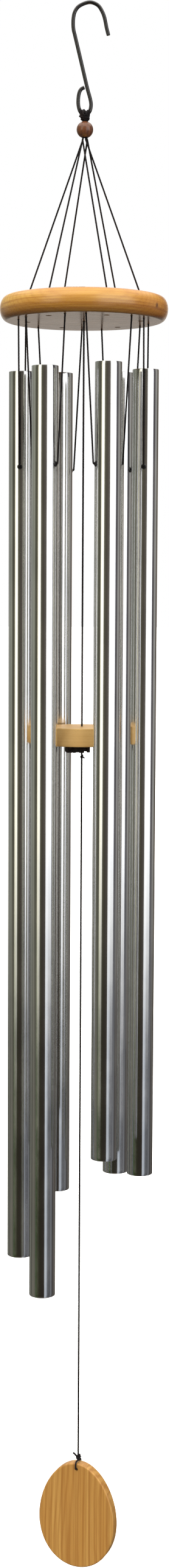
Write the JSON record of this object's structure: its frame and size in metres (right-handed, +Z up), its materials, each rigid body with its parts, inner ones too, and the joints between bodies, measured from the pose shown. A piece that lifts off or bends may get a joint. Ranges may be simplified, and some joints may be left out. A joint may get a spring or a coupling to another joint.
{
  "type": "wind chime",
  "caption": "Hanging wind chime with open-ended aluminium tubes on cords under a round wooden canopy, a wooden striker and an egg-shaped sail.",
  "frame": {"origin": "the inside of the hook, on the hanging axis, where it rests on a branch or bracket", "axes": "+Z up along the hanging axis, -Y to the front, +X to the right"},
  "size_m": [0.2032, 0.2032, 1.9394],
  "materials": {
    "hook_coating": "smooth black coating on bent wire",
    "cord": "twisted black polyester cord",
    "bead_wood": "dark stained, satin",
    "canopy_wood": "honey coloured with a glossy lacquer",
    "striker_wood": "pale, satin",
    "sail_wood": "golden brown with straight grain, satin",
    "tube_aluminium": "satin polished",
    "grommet": "matt black",
    "lock_plastic": "moulded black",
    "spring_steel": "bright wire"
  },
  "bodies": {
    "hook": {"hook": "hook_coating"},
    "hanger_loop": {"hanger_loop": "cord"},
    "bead": {"bead": "bead_wood", "hanger_cord": "cord"},
    "canopy": {"canopy": "canopy_wood", "support_cord_1": "cord", "support_cord_2": "cord", "support_cord_3": "cord", "support_cord_4": "cord", "support_cord_5": "cord", "support_cord_6": "cord", "canopy_lacing_1": "cord", "canopy_lacing_2": "cord", "canopy_lacing_3": "cord", "canopy_lacing_4": "cord", "canopy_lacing_5": "cord", "canopy_lacing_6": "cord", "centre_cord_anchor": "cord"},
    "tube_1_cord": {"tube_1_cord": "cord"},
    "tube_1": {"tube_1": "tube_aluminium", "tube_1_grommet_left": "grommet", "tube_1_grommet_right": "grommet"},
    "tube_2_cord": {"tube_2_cord": "cord"},
    "tube_2": {"tube_2": "tube_aluminium", "tube_2_grommet_left": "grommet", "tube_2_grommet_right": "grommet"},
    "tube_3_cord": {"tube_3_cord": "cord"},
    "tube_3": {"tube_3": "tube_aluminium", "tube_3_grommet_left": "grommet", "tube_3_grommet_right": "grommet"},
    "tube_4_cord": {"tube_4_cord": "cord"},
    "tube_4": {"tube_4": "tube_aluminium", "tube_4_grommet_left": "grommet", "tube_4_grommet_right": "grommet"},
    "tube_5_cord": {"tube_5_cord": "cord"},
    "tube_5": {"tube_5": "tube_aluminium", "tube_5_grommet_left": "grommet", "tube_5_grommet_right": "grommet"},
    "tube_6_cord": {"tube_6_cord": "cord"},
    "tube_6": {"tube_6": "tube_aluminium", "tube_6_grommet_left": "grommet", "tube_6_grommet_right": "grommet"},
    "centre_cord_link": {"centre_cord_link": "cord"},
    "striker_cord": {"striker_cord": "cord"},
    "cord_lock": {"lock_barrel": "lock_plastic", "lock_spring": "spring_steel"},
    "lock_plunger": {"lock_plunger": "lock_plastic"},
    "striker": {"striker": "striker_wood"},
    "sail_cord_link": {"sail_cord_link": "cord"},
    "sail_cord": {"sail_cord": "cord"},
    "sail_knot": {"sail_knot": "cord"},
    "sail_loop": {"sail_loop": "cord"},
    "sail": {"sail": "sail_wood"}
  },
  "joints": [
    {"name": "hanger_swing", "type": "hinge", "parent": "hook", "child": "hanger_loop", "pos_m": [0, 0, -0.127], "axis": [1, 0, 0], "range_deg": [-20, 20]},
    {"name": "bead_swing", "type": "hinge", "parent": "hanger_loop", "child": "bead", "pos_m": [0, 0, -0.1322], "axis": [0, -1, 0], "range_deg": [-12, 12]},
    {"name": "canopy_twist", "type": "hinge", "parent": "bead", "child": "canopy", "pos_m": [0, 0, -0.3425], "axis": [0, 0, 1], "range_deg": [-60, 60]},
    {"name": "tube_1_swing", "type": "hinge", "parent": "canopy", "child": "tube_1_cord", "pos_m": [-0.04544, -0.0603, -0.3726], "axis": [0.7986, -0.6018, 0], "range_deg": [-10, 1.6]},
    {"name": "tube_1_tilt", "type": "hinge", "parent": "tube_1_cord", "child": "tube_1", "pos_m": [-0.04544, -0.0603, -0.5453], "axis": [-0.7986, 0.6018, 0], "range_deg": [-2.4, 10]},
    {"name": "tube_2_swing", "type": "hinge", "parent": "canopy", "child": "tube_2_cord", "pos_m": [-0.07494, 0.0092, -0.3726], "axis": [-0.1219, -0.9925, 0], "range_deg": [-10, 1.6]},
    {"name": "tube_2_tilt", "type": "hinge", "parent": "tube_2_cord", "child": "tube_2", "pos_m": [-0.07494, 0.0092, -0.5453], "axis": [0.1219, 0.9925, 0], "range_deg": [-2.4, 10]},
    {"name": "tube_3_swing", "type": "hinge", "parent": "canopy", "child": "tube_3_cord", "pos_m": [-0.0295, 0.0695, -0.3726], "axis": [-0.9205, -0.3907, 0], "range_deg": [-10, 1.6]},
    {"name": "tube_3_tilt", "type": "hinge", "parent": "tube_3_cord", "child": "tube_3", "pos_m": [-0.0295, 0.0695, -0.5453], "axis": [0.9205, 0.3907, 0], "range_deg": [-2.4, 10]},
    {"name": "tube_4_swing", "type": "hinge", "parent": "canopy", "child": "tube_4_cord", "pos_m": [0.04544, 0.0603, -0.3726], "axis": [0.7986, -0.6018, 0], "range_deg": [-1.6, 10]},
    {"name": "tube_4_tilt", "type": "hinge", "parent": "tube_4_cord", "child": "tube_4", "pos_m": [0.04544, 0.0603, -0.5453], "axis": [-0.7986, 0.6018, 0], "range_deg": [-10, 2.4]},
    {"name": "tube_5_swing", "type": "hinge", "parent": "canopy", "child": "tube_5_cord", "pos_m": [0.07494, -0.0092, -0.3726], "axis": [-0.1219, -0.9925, 0], "range_deg": [-1.6, 10]},
    {"name": "tube_5_tilt", "type": "hinge", "parent": "tube_5_cord", "child": "tube_5", "pos_m": [0.07494, -0.0092, -0.5453], "axis": [0.1219, 0.9925, 0], "range_deg": [-10, 2.4]},
    {"name": "tube_6_swing", "type": "hinge", "parent": "canopy", "child": "tube_6_cord", "pos_m": [0.0295, -0.0695, -0.3726], "axis": [-0.9205, -0.3907, 0], "range_deg": [-1.6, 10]},
    {"name": "tube_6_tilt", "type": "hinge", "parent": "tube_6_cord", "child": "tube_6", "pos_m": [0.0295, -0.0695, -0.5453], "axis": [0.9205, 0.3907, 0], "range_deg": [-10, 2.4]},
    {"name": "striker_swing_front", "type": "hinge", "parent": "canopy", "child": "centre_cord_link", "pos_m": [0, 0, -0.3726], "axis": [1, 0, 0], "range_deg": [-1.75, 1.75]},
    {"name": "striker_swing_side", "type": "hinge", "parent": "centre_cord_link", "child": "striker_cord", "pos_m": [0, 0, -0.3783], "axis": [0, -1, 0], "range_deg": [-1.55, 1.55]},
    {"name": "cord_lock_slide", "type": "slide", "parent": "striker_cord", "child": "cord_lock", "axis": [0, 0, 1], "range_m": [0, 0.15]},
    {"name": "lock_plunger_press", "type": "slide", "parent": "cord_lock", "child": "lock_plunger", "axis": [-1, 0, 0], "range_m": [0, 0.0025], "stiffness_N_per_m": 800, "springref_m": -0.003, "deforming": ["lock_spring"]},
    {"name": "striker_spin", "type": "hinge", "parent": "cord_lock", "child": "striker", "pos_m": [0, 0, -0.872], "axis": [0, 0, 1], "continuous": true},
    {"name": "sail_swing_front", "type": "hinge", "parent": "striker_cord", "child": "sail_cord_link", "pos_m": [0, 0, -0.905], "axis": [1, 0, 0], "range_deg": [-4.5, 4.5]},
    {"name": "sail_swing_side", "type": "hinge", "parent": "sail_cord_link", "child": "sail_cord", "pos_m": [0, 0, -0.9103], "axis": [0, -1, 0], "range_deg": [-4.5, 4.5]},
    {"name": "sail_spin", "type": "hinge", "parent": "sail_cord", "child": "sail_knot", "pos_m": [0, 0, -1.7912], "axis": [0, 0, 1], "continuous": true},
    {"name": "sail_flap", "type": "hinge", "parent": "sail_knot", "child": "sail_loop", "pos_m": [0, 0, -1.7912], "axis": [0.9272, -0.3746, 0], "range_deg": [-30, 30]},
    {"name": "sail_sway", "type": "hinge", "parent": "sail_loop", "child": "sail", "pos_m": [0, 0, -1.8041], "axis": [0.3746, 0.9272, 0], "range_deg": [-20, 20]}
  ]
}
